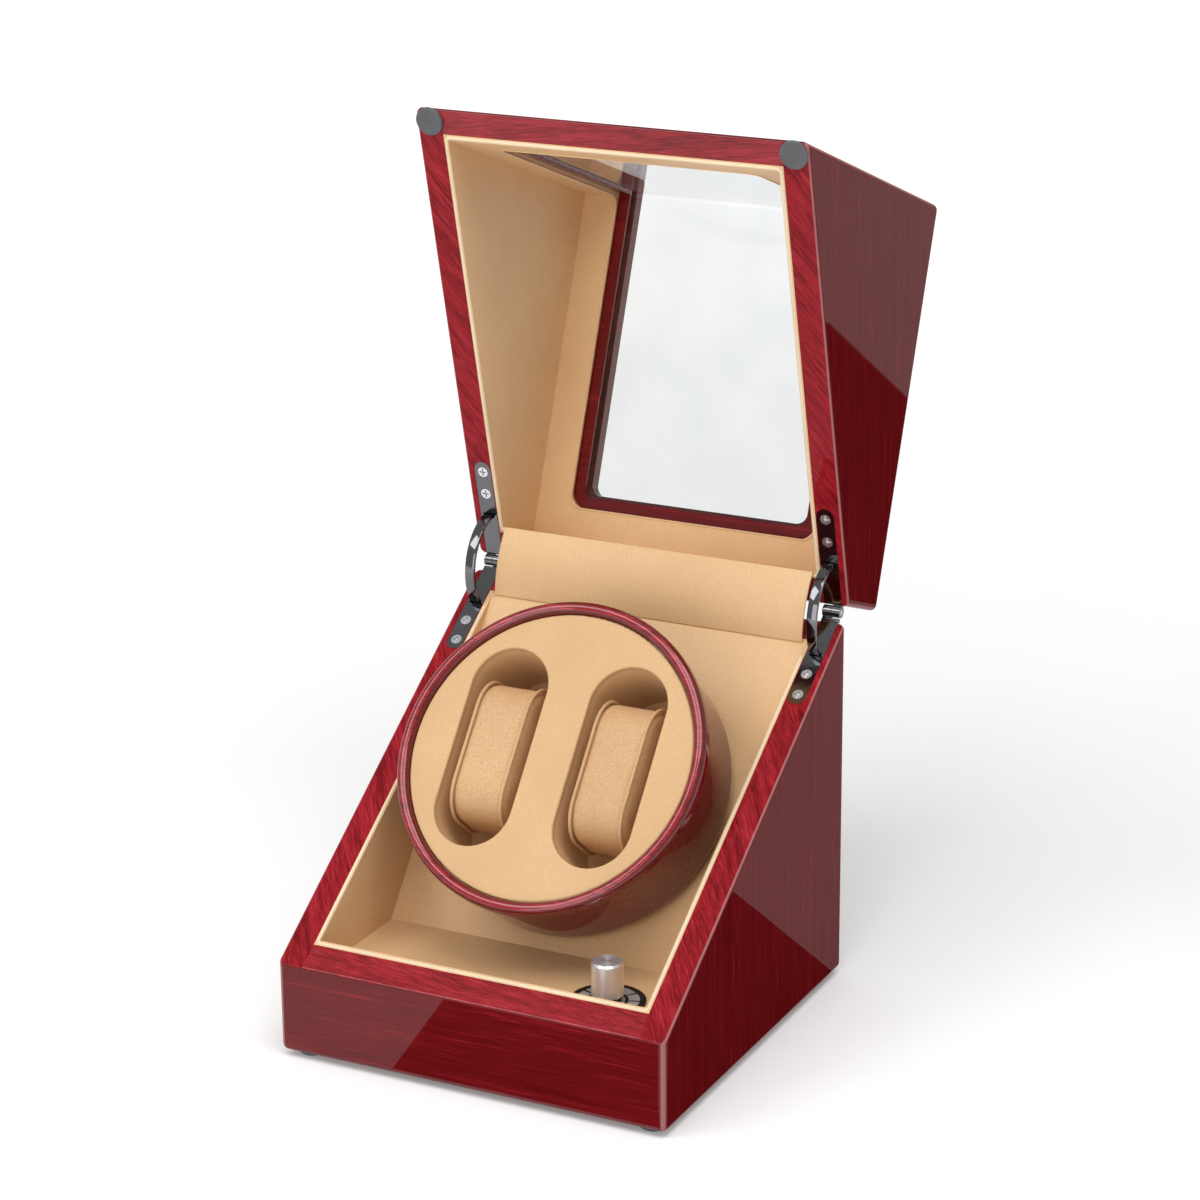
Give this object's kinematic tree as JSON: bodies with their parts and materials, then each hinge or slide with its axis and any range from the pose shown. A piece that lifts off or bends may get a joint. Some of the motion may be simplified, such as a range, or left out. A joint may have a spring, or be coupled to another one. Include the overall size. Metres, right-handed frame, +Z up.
{
  "type": "watch winder box",
  "caption": "Lacquered box with a slanted windowed lid on quadrant hinges, over a tilted motor-driven drum whose slots hold lift-out watch pillows.",
  "frame": {"origin": "centre of the underside of the bounding box, level with the soles of the feet, lid open as pictured", "axes": "+X to the right seen from the front, +Y from the front face to the back, +Z up"},
  "size_m": [0.18, 0.278, 0.3811],
  "materials": {
    "lacquer": "high gloss red lacquer over mahogany",
    "tan_leather": "smooth satin tan leather",
    "pillow_leather": "soft stitched tan leather",
    "chrome": "polished chrome plate",
    "screw_steel": "bright zinc plated",
    "pane": "clear polished acrylic",
    "grey_rubber": "matt grey rubber",
    "raw_board": "matt stained plywood",
    "turned_aluminium": "turned and satin brushed",
    "dial_metal": "silver and black printed plate",
    "bronze": "plain oiled bronze",
    "cast_alloy": "as cast",
    "shaft_steel": "ground steel",
    "gear_plastic": "natural acetal",
    "dark_plastic": "fine textured black",
    "motor_steel": "plated steel can",
    "board_green": "green solder mask",
    "wire_black": "black insulated wire"
  },
  "bodies": {
    "base": {"base_left_board": "lacquer", "base_right_board": "lacquer", "base_front_board": "lacquer", "base_back_board": "lacquer", "bottom_cover": "raw_board", "corner_blocks": "raw_board", "bottom_screws": "screw_steel", "feet": "grey_rubber", "floor_panel": "tan_leather", "deck_panel": "tan_leather", "base_side_liners": "tan_leather", "base_front_liner": "tan_leather", "hinge_flap": "tan_leather", "left_base_leaf": "chrome", "right_base_leaf": "chrome", "hinge_pins": "chrome", "base_leaf_screws": "screw_steel", "bearing_block": "cast_alloy", "shaft_bushes": "bronze", "mechanism_screws": "screw_steel", "motor_posts": "shaft_steel", "motor_bracket": "shaft_steel", "gearbox": "dark_plastic", "motor": "motor_steel", "control_board": "board_green", "selector_switch": "dark_plastic", "selector_nut": "chrome", "dial_plate": "dial_metal", "power_jack": "dark_plastic", "jack_nut": "dark_plastic", "power_lead": "wire_black", "motor_lead": "wire_black"},
    "lid": {"lid_left_board": "lacquer", "lid_right_board": "lacquer", "lid_front_frame": "lacquer", "lid_top_frame": "lacquer", "lid_back_board": "lacquer", "lid_side_liners": "tan_leather", "lid_window_liner": "tan_leather", "window_pane": "pane", "lid_bumpers": "grey_rubber", "left_lid_leaf": "chrome", "right_lid_leaf": "chrome", "lid_leaf_screws": "screw_steel"},
    "stays": {"hinge_stays": "chrome"},
    "drum": {"drum_shell": "lacquer", "drum_face": "tan_leather", "slot_wells": "tan_leather", "drum_hub": "cast_alloy", "hub_screws": "screw_steel", "drum_shaft": "shaft_steel", "drum_gear": "gear_plastic", "shaft_clip": "shaft_steel"},
    "motor_pinion": {"pinion": "gear_plastic", "motor_shaft": "shaft_steel"},
    "selector": {"knob": "turned_aluminium", "selector_spindle": "shaft_steel"},
    "left_cuff": {"left_pillow": "pillow_leather"},
    "right_cuff": {"right_pillow": "pillow_leather"}
  },
  "joints": [
    {"name": "lid_hinge", "type": "hinge", "parent": "base", "child": "lid", "pos_m": [0, 0.04387, 0.16676], "axis": [1, 0, 0], "range_deg": [0, 110.8], "deforming": ["hinge_flap"]},
    {"name": "stay_swing", "type": "hinge", "parent": "base", "child": "stays", "pos_m": [0, 0.04387, 0.16676], "axis": [1, 0, 0], "range_deg": [0, 29.92]},
    {"name": "drum_spin", "type": "hinge", "parent": "base", "child": "drum", "pos_m": [0, -0.06463, 0.1251], "axis": [0, -0.7771, 0.6293], "continuous": true},
    {"name": "pinion_spin", "type": "hinge", "parent": "base", "child": "motor_pinion", "pos_m": [0, -0.0898, 0.09401], "axis": [0, -0.7771, 0.6293], "continuous": true},
    {"name": "knob_turn", "type": "hinge", "parent": "base", "child": "selector", "pos_m": [0.0462, -0.10243, 0.05], "axis": [0, 0, 1], "range_deg": [0, 120]},
    {"name": "left_pillow_slide", "type": "slide", "parent": "drum", "child": "left_cuff", "axis": [0, -0.7771, 0.6293], "range_m": [0, 0.044]},
    {"name": "right_pillow_slide", "type": "slide", "parent": "drum", "child": "right_cuff", "axis": [0, -0.7771, 0.6293], "range_m": [0, 0.044]}
  ],
  "couplings": [
    {"joint": "stay_swing", "follows": "lid_hinge", "ratio": 0.27},
    {"joint": "pinion_spin", "follows": "drum_spin", "ratio": -3}
  ]
}
